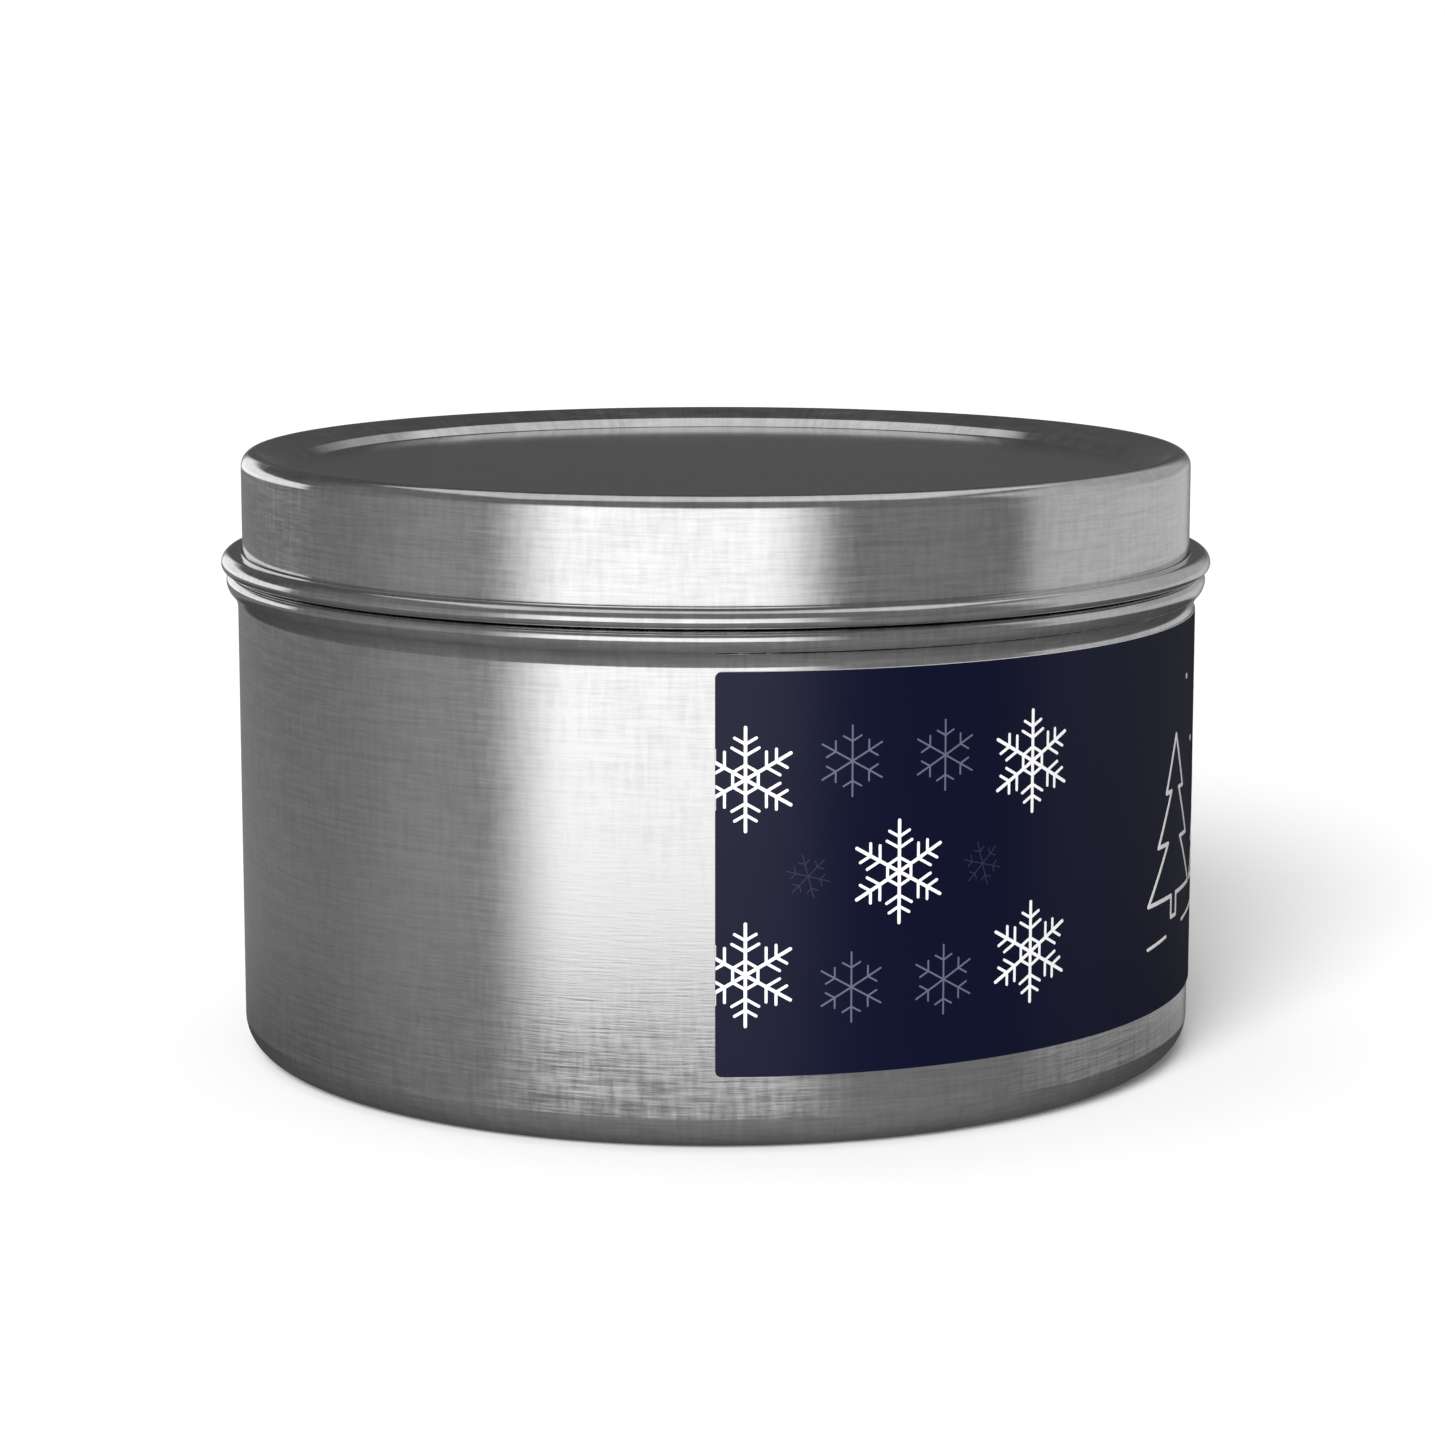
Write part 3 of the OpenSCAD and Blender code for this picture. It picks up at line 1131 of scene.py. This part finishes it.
def build_wick(material):
    """Round braid: four strands each way round a core, passing over and under in turn."""
    places, faces = [], []
    bottom, top = wick_low.z + CLEAR, wick_high.z - 0.15 * MM
    points_per_turn = 28
    count = round((top - bottom) / BRAID_PITCH * points_per_turn)
    for sense in (1, -1):
        for k in range(STRANDS):
            path = []
            end = top - 0.12 * MM * ((k * 3 + sense) % 4)
            for i in range(count + 1):
                z = bottom + (end - bottom) * i / count
                run = 2 * math.pi * (z - bottom) / BRAID_PITCH
                turn = 2 * math.pi * k / STRANDS + sense * run
                radius = BRAID_R + sense * BRAID_WAVE * math.cos(STRANDS * run)
                path.append(Vector((radius * math.cos(turn), radius * math.sin(turn), z)))
            tube(path, STRAND_R, 8, places, faces)
    tube([Vector((0, 0, bottom)), Vector((0, 0, top - 0.3 * MM))], BRAID_R * 0.7, 12, places, faces)
    mesh = bpy.data.meshes.new("braided_wick")
    mesh.from_pydata(places, [], faces)
    mesh.materials.append(material)
    mesh.polygons.foreach_set("use_smooth", [len(face) == 4 for face in faces])
    wick = bpy.data.objects.new("braided_wick", mesh)
    bpy.context.scene.collection.objects.link(wick)
    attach(wick, "tin")
    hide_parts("wick")


def build_wick_foot(material):
    """Disc with a rounded rim and a neck that flares into it, crimped at the top."""
    rim_r = FOOT_T / 2
    outer = foot_high.x
    bore = wick_high.x + CLEAR / 2
    neck = wick_high.x + FOOT_NECK_T
    low, top = foot_low.z, foot_high.z
    plate_top = low + FOOT_T
    fillet = 0.4 * MM
    lip = 0.25 * MM
    under = [(bore, low + CLEAR, -90), (outer - rim_r, low + CLEAR, -90)]
    rim = faced(arc((outer - rim_r, low + rim_r), rim_r - CLEAR, -90, 90, 15))
    plate = [(outer - rim_r, plate_top - CLEAR, 90), (neck + fillet, plate_top - CLEAR, 90)]
    root = faced(arc((neck + fillet, plate_top + fillet - CLEAR), fillet, 270, 180, 15))
    crimp = faced(arc((neck - lip, top - lip), lip, 0, 90, 15))
    bore_wall = [(bore, top, 180), (bore, low + CLEAR, 180)]
    mouth = [(neck - lip, top, 90), (bore, top, 90)]
    outside = rim + plate + root + crimp
    foot = lathe("wick_foot_plate", [(under, 0), (outside, 0), (mouth, 0), (bore_wall, 0)], [material])
    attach(foot, "tin")
    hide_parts("wick_foot")


def build_sticker(material):
    """Foam dot, bulging a little where the foot presses on it."""
    low, top, radius = sticker_low.z + CLEAR, sticker_high.z - CLEAR, sticker_high.x
    middle = (low + top) / 2
    half = (top - low) / 2
    bulge = 0.15 * MM
    edge = []
    for i in range(13):
        share = -1 + 2 * i / 12
        edge.append((radius - bulge + bulge * (1 - share**2), middle + half * share))
    under = [(0, low, -90), (edge[0][0], low, -90)]
    over = [(edge[-1][0], top, 90), (0, top, 90)]
    dot_piece = lathe("adhesive_dot", [(under, 0), (faced(edge), 0), (over, 0)], [material])
    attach(dot_piece, "tin")
    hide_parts("wick_sticker")


def build_base_label(white, navy):
    """Round paper label under the base, printed with two plain rings and no text."""
    low, top, radius = base_label_low.z, base_label_high.z - CLEAR, base_label_high.x
    ring_edges = [0, 12 * MM, 12.5 * MM, 26.6 * MM, 27.4 * MM, 28 * MM, 28.25 * MM, radius]
    under = []
    for i, (inner, outer) in enumerate(zip(ring_edges, ring_edges[1:])):
        under.append(([(inner, low, -90), (outer, low, -90)], i % 2))
    edge = [(radius, low, 0), (radius, top, 0)]
    over = [(radius, top, 90), (0, top, 90)]
    label = lathe("round_base_label", [*under, (edge, 0), (over, 0)], [white, navy])
    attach(label, "tin")
    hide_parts("base_label")


# ---------------------------------------------------------------- assembly

build_studio()

body_steel = turned_steel("body_steel")
lid_steel = turned_steel("lid_steel")
navy_film = film("navy_film", (0.0006, 0.0014, 0.0165), (0.001, 0.002, 0.019))
film_edge = film("film_edge", (0.8, 0.8, 0.8), (0.85, 0.85, 0.85))
white_ink = film("white_ink", (0.9, 0.9, 0.9), (0.93, 0.93, 0.93))
grey_ink = film("grey_ink", (0.11, 0.115, 0.17), (0.13, 0.135, 0.19))
faint_ink = film("faint_ink", (0.02, 0.022, 0.05), (0.024, 0.026, 0.056))

build_cup(body_steel)
build_lid(lid_steel, panel_steel("panel_steel"))
build_label(navy_film, film_edge)
build_print("snowflake_print_white", large_flakes(), white_ink)
build_print("snowflake_print_grey", medium_flakes(), grey_ink)
build_print("snowflake_print_faint", small_flakes(), faint_ink)
build_print("winter_scene_print", winter_scene(), white_ink)
build_wax(candle_wax())
build_wick(cotton())
build_wick_foot(plated_steel())
build_sticker(adhesive_foam())
build_base_label(
    paper("label_paper", (0.84, 0.83, 0.79), (0.9, 0.89, 0.86)),
    paper("label_paper_ink", (0.03, 0.035, 0.1), (0.045, 0.05, 0.13)),
)
